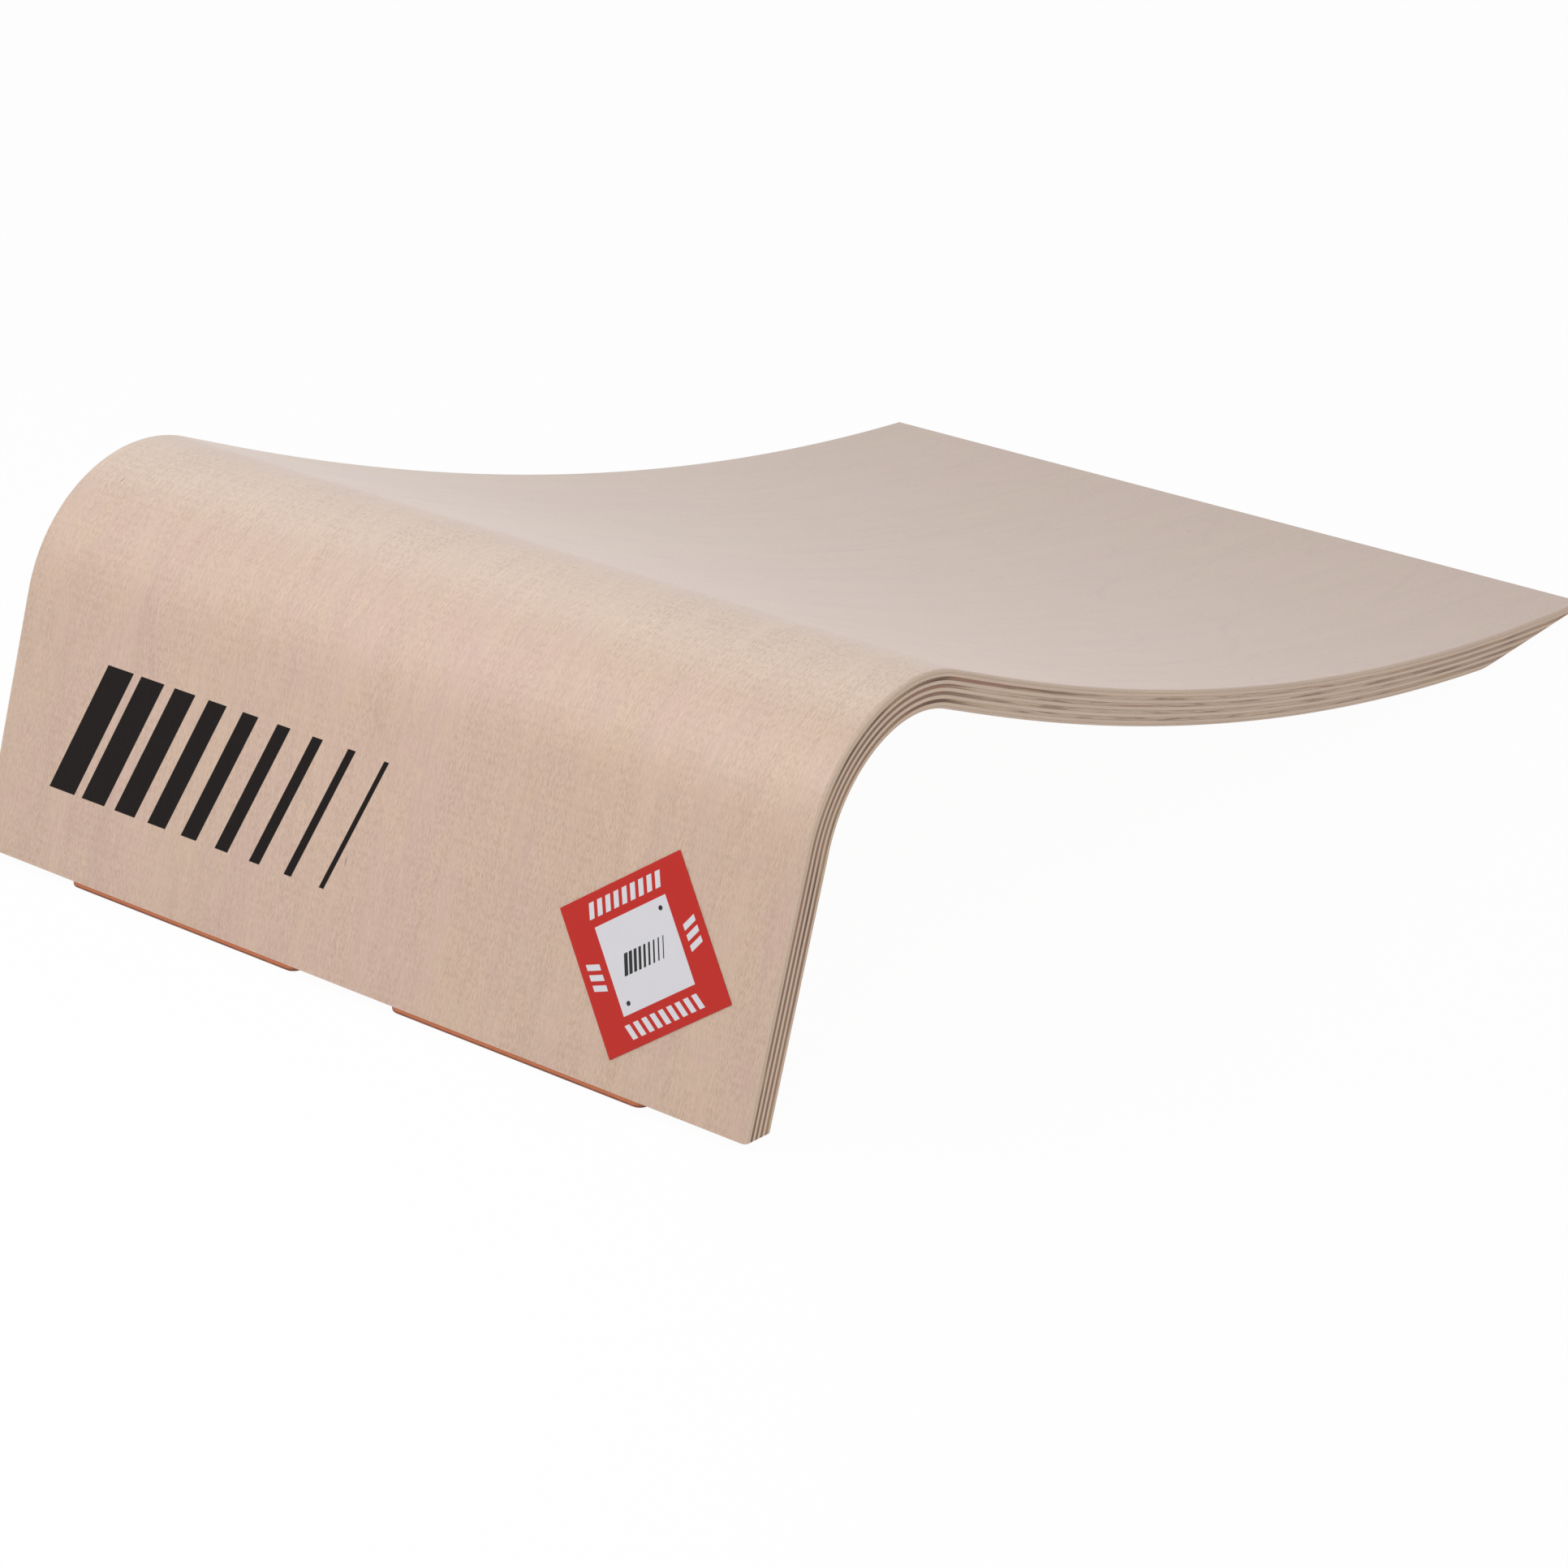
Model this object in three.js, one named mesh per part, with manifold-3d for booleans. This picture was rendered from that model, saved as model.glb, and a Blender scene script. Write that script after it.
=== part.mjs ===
// A jump ramp for skateboards, scooters and bikes: one sheet of bent beech plywood that stands on
// its folded-down leg at the back and on its bevelled nose at the front, with rubber grip strips
// let into both resting edges and a square label on the leg.
//
// The sheet is pressed over one form from eleven veneers. Seen from the side every veneer follows
// the same profile at its own depth below the riding face: up the leaning leg, round the crown,
// down a short straight fall and out along a wide curve to the nose. The edges are trimmed after
// pressing: the foot cut square to the floor but for a few degrees, the nose cut to a blunt tip
// and a flat bevel, and the long arrises of both faces rounded.
//
// Millimetres. +X runs from the leg to the nose, +Y across the ramp, +Z up. The origin is on the
// floor under the middle of the ramp. Left and right are a rider's who comes from the nose.

import * as THREE from "three";
import { mergeVertices } from "three/addons/utils/BufferGeometryUtils.js";
import Module from "manifold-3d";

// Plywood sheet
const rampWidth = 400;
const crownHeight = 150; // top of the crown above the bevelled underside of the nose
const veneerThickness = 1.3;
const glueLine = 0.1;
const arrisRadius = 1.8;

// Bends of the riding face, from the leg to the nose
const legLean = THREE.MathUtils.degToRad(19); // off upright, towards the nose
const crownRadius = 68;
const fallAngle = THREE.MathUtils.degToRad(24); // steepest slope behind the crown
const fallLength = 24;
const noseAngle = THREE.MathUtils.degToRad(6); // slope left at the tip
const noseTipThickness = 1.9;

// Foot of the leg
const footRise = 1.3; // outer foot corner above the bevelled underside of the nose
const footCutAngle = THREE.MathUtils.degToRad(6); // the cut falls towards the inner face

// Grip strips and their grooves
const stripWidth = 8;
const stripSideMargin = 50; // from the side of the ramp to the end of a strip
const stripGap = 50; // between the two strips of a pair
const grooveClearance = 0.3;
const rearGrooveDepth = 8;
const frontGroovePlies = 3.15; // depth of the front grooves in plies, so each ends inside a veneer
const frontStripPly = 8; // veneers left above the middle of the front strips, along the bevel
const frontStripStandoff = 2.8; // bevelled underside of the nose above the floor

// Label on the leg
const labelSize = 60;
const labelThickness = 0.25;
const labelTurn = THREE.MathUtils.degToRad(36.9); // anticlockwise, seen from outside
const labelSideMargin = 18; // from the side of the ramp to the nearest corner
const labelFootMargin = 11.4; // from the foot of the leg to the lowest corner

// Facets of the round stretches
const crownSteps = 26;
const curveSteps = 30;
const arrisSteps = 4;
const stripEndSteps = 8;

// Lay-up from the riding face down. Long veneers have their grain along the ramp, cross veneers
// across it, so the side edge shows cross veneers as dark end grain.
const layup = [
  ["deck_face_veneer", "long"],
  ["deck_backing_veneer", "long"],
  ["cross_veneer_1", "cross"],
  ["long_veneer_1", "long"],
  ["cross_veneer_2", "cross"],
  ["core_veneer", "long"],
  ["cross_veneer_3", "cross"],
  ["long_veneer_2", "long"],
  ["cross_veneer_4", "cross"],
  ["underside_backing_veneer", "long"],
  ["underside_face_veneer", "long"],
];

const veneerPitch = veneerThickness + glueLine;
const sheetThickness = layup.length * veneerPitch - glueLine;

// Materials
const beechLong = new THREE.MeshStandardMaterial({ color: 0xd3b79f, roughness: 0.6, metalness: 0 });
const beechCross = new THREE.MeshStandardMaterial({ color: 0x9c8270, roughness: 0.7, metalness: 0 });
const orangeRubber = new THREE.MeshStandardMaterial({ color: 0xd4713c, roughness: 0.7, metalness: 0 });
const redVinyl = new THREE.MeshStandardMaterial({ color: 0xc2342c, roughness: 0.4, metalness: 0 });

// Profile of the riding face: heights of its ends fix the length of the leg and the wide radius
const bevelHeight = frontStripStandoff;
const footHeight = bevelHeight + footRise;
const crownCentreHeight = bevelHeight + crownHeight - crownRadius;
const legLength = (crownCentreHeight + crownRadius * Math.sin(legLean) - footHeight) / Math.cos(legLean);
const crownDrop = crownRadius * (1 - Math.cos(fallAngle));
const fallDrop = fallLength * Math.sin(fallAngle);
const curveRadius =
  (crownHeight - crownDrop - fallDrop - noseTipThickness) / (Math.cos(noseAngle) - Math.cos(fallAngle));

const legRun = legLength * Math.sin(legLean) + crownRadius * Math.cos(legLean);
const fallRun = crownRadius * Math.sin(fallAngle) + fallLength * Math.cos(fallAngle);
const curveRun = curveRadius * (Math.sin(fallAngle) - Math.sin(noseAngle));
const rampLength = legRun + fallRun + curveRun;

// Points of the side view are pairs of X and Z
const foot = new THREE.Vector2(-rampLength / 2, footHeight);
const crownCentre = new THREE.Vector2(foot.x + legRun, crownCentreHeight);
const tipX = rampLength / 2;
const curveCentre = new THREE.Vector2(
  tipX + curveRadius * Math.sin(noseAngle),
  bevelHeight + noseTipThickness + curveRadius * Math.cos(noseAngle),
);

// Slope at which the wide curve of a given radius ends, at the blunt tip or on the bevel
function endSlope(radius) {
  const atTip = Math.asin((curveCentre.x - tipX) / radius);
  const atBevel = Math.acos(Math.min((curveCentre.y - bevelHeight) / radius, 1));
  return Math.max(atTip, atBevel);
}

// Depth at which the blunt tip meets the bevel
const tipCornerDepth = Math.hypot(curveCentre.x - tipX, curveCentre.y - bevelHeight) - curveRadius;

// Middle of the front strips: where the glue line above a veneer comes out on the bevel
const frontStripDepth = frontStripPly * veneerPitch - glueLine / 2;
const frontStripRadius = curveRadius + frontStripDepth;
const frontStripX = curveCentre.x - frontStripRadius * Math.sin(endSlope(frontStripRadius));

// How far up the leg the foot cut crosses the layer at a depth
function footCutAt(depth) {
  return depth * Math.tan(legLean - footCutAngle);
}

// Side view of the layer at a depth below the riding face, from the foot cut to the nose
function profileAt(depth) {
  const up = footCutAt(depth);
  const start = new THREE.Vector2(
    foot.x + up * Math.sin(legLean) + depth * Math.cos(legLean),
    foot.y + up * Math.cos(legLean) - depth * Math.sin(legLean),
  );
  const crownR = crownRadius - depth;
  const crown = new THREE.EllipseCurve(
    crownCentre.x, crownCentre.y, crownR, crownR, Math.PI - legLean, Math.PI / 2 - fallAngle, true,
  );
  const curveR = curveRadius + depth;
  const curve = new THREE.EllipseCurve(
    curveCentre.x, curveCentre.y, curveR, curveR, -Math.PI / 2 - fallAngle, -Math.PI / 2 - endSlope(curveR), false,
  );
  return [start, ...crown.getPoints(crownSteps), ...curve.getPoints(curveSteps)];
}

// Half the width of the sheet at a depth, drawn in near both faces by the rounded arrises
function halfWidthAt(depth) {
  const fromFace = Math.min(depth, sheetThickness - depth);
  const shortfall = Math.max(arrisRadius - fromFace, 0);
  return rampWidth / 2 - arrisRadius + Math.sqrt(arrisRadius ** 2 - shortfall ** 2);
}

// Depths that a veneer's loft needs: its two faces, the steps of the arrises and the tip's corner
function loftDepths(top, bottom) {
  const depths = [tipCornerDepth];
  for (let step = 1; step <= arrisSteps; step += 1) {
    const depth = arrisRadius * (1 - Math.cos((step / arrisSteps) * (Math.PI / 2)));
    depths.push(depth, sheetThickness - depth);
  }
  const least = veneerThickness / 20;
  const between = depths.filter((depth) => depth > top + least && depth < bottom - least);
  return [top, ...between.sort((a, b) => a - b), bottom];
}

// A veneer lofted from its side views: one profile per depth, each at that depth's two half widths
function veneerGeometry(top, bottom) {
  const depths = loftDepths(top, bottom);
  const stations = profileAt(top).length;
  const ring = 2 * depths.length;
  const positions = new Float32Array(stations * ring * 3);
  depths.forEach((depth, row) => {
    const half = halfWidthAt(depth);
    profileAt(depth).forEach((point, station) => {
      positions.set([point.x, half, point.y], (station * ring + row) * 3);
      positions.set([point.x, -half, point.y], (station * ring + ring - 1 - row) * 3);
    });
  });
  const index = [];
  const quad = (a, b, c, d) => index.push(a, c, b, a, d, c);
  for (let station = 0; station + 1 < stations; station += 1) {
    for (let corner = 0; corner < ring; corner += 1) {
      const next = (corner + 1) % ring;
      const here = station * ring;
      const ahead = here + ring;
      quad(here + corner, here + next, ahead + next, ahead + corner);
    }
  }
  const lastRing = (stations - 1) * ring;
  for (let row = 0; row + 1 < depths.length; row += 1) {
    const across = ring - 1 - row;
    quad(row, across, across - 1, row + 1);
    quad(lastRing + row, lastRing + row + 1, lastRing + across - 1, lastRing + across);
  }
  const geometry = new THREE.BufferGeometry();
  geometry.setAttribute("position", new THREE.BufferAttribute(positions, 3));
  geometry.setIndex(index);
  return geometry;
}

// Booleans
const wasm = await Module();
wasm.setup();

function solidFrom(geometry) {
  const bare = geometry.clone();
  bare.deleteAttribute("normal");
  bare.deleteAttribute("uv");
  const merged = mergeVertices(bare);
  return new wasm.Manifold(
    new wasm.Mesh({
      numProp: 3,
      vertProperties: merged.attributes.position.array,
      triVerts: new Uint32Array(merged.index.array),
    }),
  );
}

function geometryFrom(solid) {
  const mesh = solid.getMesh();
  const geometry = new THREE.BufferGeometry();
  geometry.setAttribute("position", new THREE.BufferAttribute(mesh.vertProperties, 3));
  geometry.setIndex(new THREE.BufferAttribute(mesh.triVerts, 1));
  return geometry.toNonIndexed();
}

// Round-ended bar along Y, from one height to another
function roundEndedBar(length, width, from, to) {
  const radius = width / 2;
  const reach = length / 2 - radius;
  const outline = new THREE.Shape();
  outline.absarc(0, reach, radius, 0, Math.PI, false);
  outline.absarc(0, -reach, radius, Math.PI, 2 * Math.PI, false);
  const bar = new THREE.ExtrudeGeometry(outline, {
    depth: to - from,
    bevelEnabled: false,
    curveSegments: stripEndSteps,
  });
  return bar.translate(0, 0, from);
}

const stripLength = (rampWidth - 2 * stripSideMargin - stripGap) / 2;
const stripCentreY = (stripGap + stripLength) / 2;
const grooveLength = stripLength + 2 * grooveClearance;
const grooveWidth = stripWidth + 2 * grooveClearance;
const grooveOverrun = rearGrooveDepth / 2;
const sides = [
  ["left", -stripCentreY],
  ["right", stripCentreY],
];

// Frame of the leg: X through the sheet from the outer face, Z up the leg from the outer foot corner
const leg = new THREE.Group();
leg.position.set(foot.x, 0, foot.y);
leg.rotation.y = legLean;
leg.updateMatrix();

// Frame of the nose: on the floor under the front strips
const nose = new THREE.Group();
nose.position.set(frontStripX, 0, 0);
nose.updateMatrix();

const midSheet = sheetThickness / 2;
const rearGrooveTop = footCutAt(midSheet) + rearGrooveDepth;
const frontGrooveTop = bevelHeight + frontGroovePlies * veneerPitch;

function rearGroove(y) {
  const groove = roundEndedBar(grooveLength, grooveWidth, -grooveOverrun, rearGrooveTop);
  return groove.translate(midSheet, y, 0).applyMatrix4(leg.matrix);
}

function frontGroove(y) {
  const groove = roundEndedBar(grooveLength, grooveWidth, bevelHeight - grooveOverrun, frontGrooveTop);
  return groove.translate(0, y, 0).applyMatrix4(nose.matrix);
}

// Rear strip: parallel to the leg's faces, with its sole cut level on the floor
function rearStripGeometry() {
  const strip = roundEndedBar(stripLength, stripWidth, 0, rearGrooveTop - grooveClearance);
  const position = strip.getAttribute("position");
  for (let i = 0; i < position.count; i += 1) {
    if (position.getZ(i) > 0) continue;
    const depth = midSheet + position.getX(i);
    position.setZ(i, (depth * Math.sin(legLean) - foot.y) / Math.cos(legLean));
  }
  return strip;
}

function frontStripGeometry() {
  return roundEndedBar(stripLength, stripWidth, 0, frontGrooveTop - grooveClearance);
}

function addMesh(parent, name, geometry, material) {
  geometry.computeVertexNormals();
  const mesh = new THREE.Mesh(geometry, material);
  mesh.name = name;
  parent.add(mesh);
  return mesh;
}

const ramp = new THREE.Group();
ramp.add(leg, nose);

// Veneers, each milled by the four grooves where they reach it
const grooves = sides.flatMap(([, y]) => [solidFrom(rearGroove(y)), solidFrom(frontGroove(y))]);
layup.forEach(([name, grain], layer) => {
  const top = layer * veneerPitch;
  let sheet = solidFrom(veneerGeometry(top, top + veneerThickness));
  for (const groove of grooves) sheet = sheet.subtract(groove);
  addMesh(ramp, name, geometryFrom(sheet), grain === "long" ? beechLong : beechCross);
});

// Grip strips
for (const [side, y] of sides) {
  const rear = addMesh(leg, `rear_grip_strip_${side}`, rearStripGeometry(), orangeRubber);
  rear.position.set(midSheet, y, 0);
  const front = addMesh(nose, `front_grip_strip_${side}`, frontStripGeometry(), orangeRubber);
  front.position.set(0, y, 0);
}

// Label: a thin square turned on the leg's outer face, near the left side
const labelReach = (labelSize / 2) * (Math.cos(labelTurn) + Math.sin(labelTurn));
const label = addMesh(
  leg,
  "square_label",
  new THREE.BoxGeometry(labelThickness, labelSize, labelSize),
  redVinyl,
);
label.rotation.x = -labelTurn;
label.position.set(
  -glueLine - labelThickness / 2,
  labelSideMargin + labelReach - rampWidth / 2,
  labelFootMargin + labelReach,
);

export default ramp;
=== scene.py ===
"""Jump ramp of bent beech plywood: the looks of the packed part.

The sheet's face and backing veneers, the grip strips and the label are made here as finer
pieces. The seven inner veneers are the packed part's own. Metres, with +X from the leg to the
nose, +Y across the ramp and +Z up.
"""

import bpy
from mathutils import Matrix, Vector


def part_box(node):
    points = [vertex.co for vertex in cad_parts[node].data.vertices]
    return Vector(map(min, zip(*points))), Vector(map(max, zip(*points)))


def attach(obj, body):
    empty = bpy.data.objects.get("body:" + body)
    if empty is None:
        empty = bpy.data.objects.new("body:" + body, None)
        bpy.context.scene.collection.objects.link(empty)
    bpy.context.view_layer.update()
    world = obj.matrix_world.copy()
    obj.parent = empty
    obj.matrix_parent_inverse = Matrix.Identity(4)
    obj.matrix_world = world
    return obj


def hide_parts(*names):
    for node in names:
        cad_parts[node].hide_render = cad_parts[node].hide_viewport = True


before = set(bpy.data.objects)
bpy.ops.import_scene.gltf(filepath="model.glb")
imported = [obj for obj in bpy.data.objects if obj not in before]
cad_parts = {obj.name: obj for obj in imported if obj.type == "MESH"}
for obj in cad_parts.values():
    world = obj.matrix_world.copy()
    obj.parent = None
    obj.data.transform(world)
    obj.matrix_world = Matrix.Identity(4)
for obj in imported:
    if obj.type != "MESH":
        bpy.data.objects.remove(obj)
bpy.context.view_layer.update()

import math

import bpy
import numpy as np
from bpy.props import FloatProperty, FloatVectorProperty, IntProperty, PointerProperty
from mathutils import Matrix, Vector

bl_info = {
    "name": "Jump Ramp",
    "version": (1, 0, 0),
    "blender": (4, 5, 0),
    "location": "3D View > Sidebar > Jump Ramp",
    "description": "Veneers, grip strips, label and studio of a bent plywood jump ramp",
    "category": "Object",
}

MM = 0.001

# Lay-up from the riding face down, with the direction of each veneer's grain
LAYUP = (
    ("deck_face_veneer", "long"),
    ("deck_backing_veneer", "long"),
    ("cross_veneer_1", "cross"),
    ("long_veneer_1", "long"),
    ("cross_veneer_2", "cross"),
    ("core_veneer", "long"),
    ("cross_veneer_3", "cross"),
    ("long_veneer_2", "long"),
    ("cross_veneer_4", "cross"),
    ("underside_backing_veneer", "long"),
    ("underside_face_veneer", "long"),
)
FACE_PLIES = (0, 1, 9, 10)
STRIPS = (
    "rear_grip_strip_left",
    "rear_grip_strip_right",
    "front_grip_strip_left",
    "front_grip_strip_right",
)

GROOVE_GAP = 0.3 * MM
LABEL_GLUE = 0.1 * MM
FLOOR_REACH = 12.0
FLOOR_DROP = 0.2 * MM
SUN_SPREAD = math.radians(35)

core_low, core_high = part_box("core_veneer")
face_low, face_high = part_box("deck_face_veneer")
sole_low, sole_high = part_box("front_grip_strip_left")


# Sizes and colours that a user would change

def length_prop(name, description, default, lowest=0.0):
    """A length in metres."""
    return FloatProperty(
        name=name, description=description, unit="LENGTH", default=default, min=lowest,
    )


def angle_prop(name, description, degrees):
    """An angle, written in degrees."""
    return FloatProperty(
        name=name, description=description, subtype="ANGLE", default=math.radians(degrees),
    )


def colour_prop(name, description, red, green, blue):
    """A colour in linear light."""
    return FloatVectorProperty(
        name=name, description=description, subtype="COLOR", default=(red, green, blue),
        min=0.0, max=1.0,
    )


def place_prop(name, description, x, y, z):
    """A place in metres."""
    return FloatVectorProperty(
        name=name, description=description, subtype="TRANSLATION", unit="LENGTH",
        default=(x, y, z),
    )


def level_prop(name, description, default):
    """Strength of a light. White that faces a light of level 1 renders as white."""
    return FloatProperty(name=name, description=description, default=default, min=0.0)


class SheetSizes(bpy.types.PropertyGroup):
    """Sizes of the bent plywood sheet."""

    width: length_prop("Width", "Across the ramp", core_high.y - core_low.y, 0.1)
    crown_height: length_prop(
        "Crown height", "Top of the crown above the floor", face_high.z, 0.05,
    )
    ply: length_prop("Ply", "One veneer without its glue", 1.3 * MM, 0.3 * MM)
    glue: length_prop("Glue line", "Film of glue between two veneers", 0.1 * MM, 0.02 * MM)
    arris: length_prop("Arris", "Radius of the long edges of both faces", 1.8 * MM, 0.2 * MM)
    standoff: length_prop("Standoff", "Bevelled underside of the nose above the floor", 2.8 * MM)
    foot_rise: length_prop("Foot rise", "Outer foot corner above the bevel", 1.3 * MM)
    tip: length_prop("Tip", "Height of the blunt tip of the nose", 1.9 * MM, 0.2 * MM)
    crown_radius: length_prop("Crown radius", "Riding face round the crown", 68 * MM, 0.03)
    fall_length: length_prop("Fall", "Straight stretch behind the crown", 24 * MM)
    leg_lean: angle_prop("Leg lean", "Off upright, towards the nose", 19)
    fall_angle: angle_prop("Fall angle", "Steepest slope behind the crown", 24)
    nose_angle: angle_prop("Nose angle", "Slope left at the tip", 6)
    foot_cut: angle_prop("Foot cut", "Fall of the cut towards the inner face", 6)
    round_steps: IntProperty(
        name="Round steps", description="Steps of the crown bend", default=72, min=8,
    )


class BeechColours(bpy.types.PropertyGroup):
    """Colours of the beech veneers."""

    face: colour_prop("Face", "Sanded long grain", 0.657, 0.472, 0.374)
    rosy: colour_prop("Rosy cloud", "Pinker clouds in the face", 0.645, 0.459, 0.379)
    sandy: colour_prop("Sandy cloud", "Yellower clouds in the face", 0.649, 0.474, 0.360)
    rosy_mottle: colour_prop(
        "Rosy mottle", "Pinker small patches in the face", 0.640, 0.446, 0.372,
    )
    sandy_mottle: colour_prop(
        "Sandy mottle", "Yellower small patches in the face", 0.664, 0.496, 0.362,
    )
    # Painted highlight: a paler, less saturated band over the top of the crown, in place of a soft
    # reflection of the lamps
    painted_crown_highlight: colour_prop("Crest", "Paler wood where the crown was sanded", 0.715, 0.552, 0.440)
    fleck: colour_prop("Fleck", "Short ray flecks", 0.45, 0.27, 0.18)
    long_edge: colour_prop("Long edge", "Sawn edge of a long veneer", 0.69, 0.53, 0.415)
    end_grain: colour_prop("End grain", "Sawn ends of the fibres", 0.265, 0.158, 0.108)
    umber: colour_prop("Umber end grain", "Darkest stretches of end grain", 0.13, 0.072, 0.045)
    end_grain_rust: colour_prop(
        "Rusty end grain", "Reddish stretches of end grain", 0.34, 0.185, 0.125,
    )
    end_grain_ochre: colour_prop(
        "Ochre end grain", "Yellowish stretches of end grain", 0.40, 0.27, 0.15,
    )
    glue: colour_prop("Glue", "Film of glue on the edge", 0.30, 0.20, 0.14)
    ink: colour_prop("Ink", "Print on the leg", 0.0045, 0.0018, 0.0012)


class PrintSizes(bpy.types.PropertyGroup):
    """Sizes of the row of slanted stripes that is printed on the leg."""

    stripes: IntProperty(name="Stripes", description="Stripes in the row", default=9, min=1)
    pitch: length_prop("Pitch", "From one stripe to the next", 18 * MM, 1 * MM)
    thinnest: length_prop("Thinnest", "Width of the first stripe", 2.5 * MM, 0.5 * MM)
    widest: length_prop("Widest", "Width of the last stripe", 14.5 * MM, 0.5 * MM)
    height: length_prop("Height", "From the bottom of the row to its top", 56 * MM, 1 * MM)
    slant: angle_prop("Slant", "Lean of the stripes", 20)
    foot_margin: length_prop("Foot margin", "From the foot to the stripes", 34 * MM)
    start: length_prop("Start", "First stripe from the middle of the ramp", 8 * MM, -0.2)


class StripSizes(bpy.types.PropertyGroup):
    """Sizes and colours of the rubber grip strips."""

    lip: length_prop("Lip", "Overhang of the head past the groove", 1.0 * MM, 0.35 * MM)
    edge_round: length_prop("Edge round", "Radius of the sole's edges", 1.4 * MM, 0.05 * MM)
    colour: colour_prop("Rubber", "Orange rubber", 0.88, 0.285, 0.125)
    # Colour of the painted shade on the strips: dark sole edge, band under the groove and round ends
    painted_shade_colour: colour_prop("Scuffed rubber", "Dirt at the sole", 0.20, 0.055, 0.028)


class LabelSizes(bpy.types.PropertyGroup):
    """Sizes and colours of the square label."""

    size: length_prop("Size", "Side of the square", 60 * MM, 1 * MM)
    panel: length_prop("Panel", "Side of the pale panel", 35 * MM)
    thickness: length_prop("Thickness", "Vinyl film and its adhesive", 0.25 * MM)
    corner: length_prop("Corner", "Radius of the corners", 0.5 * MM)
    turn: angle_prop("Turn", "Anticlockwise, seen from outside", 36.9)
    border: colour_prop("Border", "Printed border", 0.53, 0.013, 0.006)
    pale: colour_prop("Pale", "Panel and border pattern", 0.73, 0.725, 0.775)
    ink: colour_prop("Ink", "Print on the panel", 0.008, 0.0078, 0.0075)


class StageSizes(bpy.types.PropertyGroup):
    """Camera, lamps and floor."""

    camera_place: place_prop("Camera", "Where the camera stands", -1.327935, -0.983544, 0.746769)
    azimuth: angle_prop("Azimuth", "Turn of the camera about the upright axis", -52.688)
    elevation: angle_prop("Elevation", "Above the horizon", 25.1607)
    roll: angle_prop("Roll", "Tilt of the picture", 0.29365)
    lens: FloatProperty(
        name="Lens", description="Focal length on a 36 mm sensor", unit="CAMERA", default=93.843,
    )
    floor: colour_prop("Floor", "Floor and surroundings", 0.97, 0.97, 0.97)
    floor_glow: FloatProperty(
        name="Floor glow", description="Share of the floor that the camera sees as plain white",
        subtype="FACTOR", default=0.965, min=0.0, max=1.0,
    )
    backdrop: level_prop("Backdrop", "Surroundings, as the camera sees them", 0.98)
    sky: level_prop("Sky", "Even light from all round", 0.34)
    leg_lamp: level_prop("Leg lamp", "Near lamp in front of the crown", 0.47)
    right_lamp: level_prop("Right lamp", "Near lamp to the leg's right", 0.20)
    nose_lamp: level_prop("Nose lamp", "Distant soft lamp high above the nose", 0.08)
    left_lamp: level_prop("Left lamp", "Distant soft lamp on the left side edge", 0.22)
    lamp_size: length_prop("Lamp size", "Diameter of the near lamps", 0.8, 0.01)
    aim: place_prop("Aim", "What the near lamps point at", -0.22, 0.0, 0.13)


# Kind and tint of each lamp, with the place of a near one or the direction of a distant one
LAMPS = {
    "leg_lamp": ("AREA", (-0.75, -0.1, 0.75), (1.0, 0.98, 0.95)),
    "right_lamp": ("AREA", (-0.6, 0.5, 0.8), (1.0, 1.0, 1.0)),
    "nose_lamp": ("SUN", (0.3, 0.5, 0.8), (0.93, 0.98, 1.0)),
    "left_lamp": ("SUN", (0.15, -0.97, 0.2), (1.0, 1.0, 1.0)),
}

GROUPS = {
    "ramp_sheet": SheetSizes,
    "ramp_beech": BeechColours,
    "ramp_print": PrintSizes,
    "ramp_strips": StripSizes,
    "ramp_label": LabelSizes,
    "ramp_stage": StageSizes,
}

# Noise patterns of the wood: spans in millimetres along, across and down the sheet and a shift,
# then the detail, the roughness and the warp of the noise
PATTERNS = {
    "clouds": ((230, 46, 60, 0.0), 2.5, 0.55, 0.3),
    "drifts": ((340, 60, 60, 7.3), 2.0, 0.5, 0.2),
    "mottle": ((22, 12, 12, 8.1), 2.5, 0.6, 0.0),
    "streaks": ((260, 6.5, 20, 3.1), 2.0, 0.55, 0.0),
    "fibres": ((7, 0.5, 0.6, 1.7), 2.0, 0.6, 0.0),
    "figure": ((620, 58, 60, 5.9), 1.5, 0.4, 0.4),
    "fleck_crowds": ((50, 12, 20, 9.2), 2.0, 0.5, 0.0),
    "edge_streaks": ((34, 30, 0.42, 2.6), 2.5, 0.6, 0.0),
    "edge_bands": ((90, 60, 1.6, 6.1), 1.5, 0.5, 0.0),
    "rust": ((80, 80, 2.1, 8.7), 1.5, 0.5, 0.0),
    "ochre": ((60, 60, 2.3, 3.9), 1.5, 0.5, 0.0),
    "umber": ((42, 42, 2.2, 6.2), 2.0, 0.5, 0.0),
    "pores": ((1.2, 1.2, 0.5, 1.1), 2.0, 0.65, 0.0),
    "saw_waver": ((7, 7, 1.2, 4.8), 1.0, 0.5, 0.0),
    "saw_patches": ((46, 46, 2.2, 5.5), 2.0, 0.5, 0.0),
    "wash_wander": ((200, 200, 1.9, 2.9), 1.0, 0.5, 0.0),
    "wash_patches": ((30, 30, 0.9, 6.6), 3.0, 0.65, 0.0),
}

# Ray flecks, small and large: length and breadth in millimetres, share left out and shift
FLECKS = ((3.0, 0.52, 0.22, 0.0), (4.6, 0.76, 0.45, 4.4))


# The bend of the sheet

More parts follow.
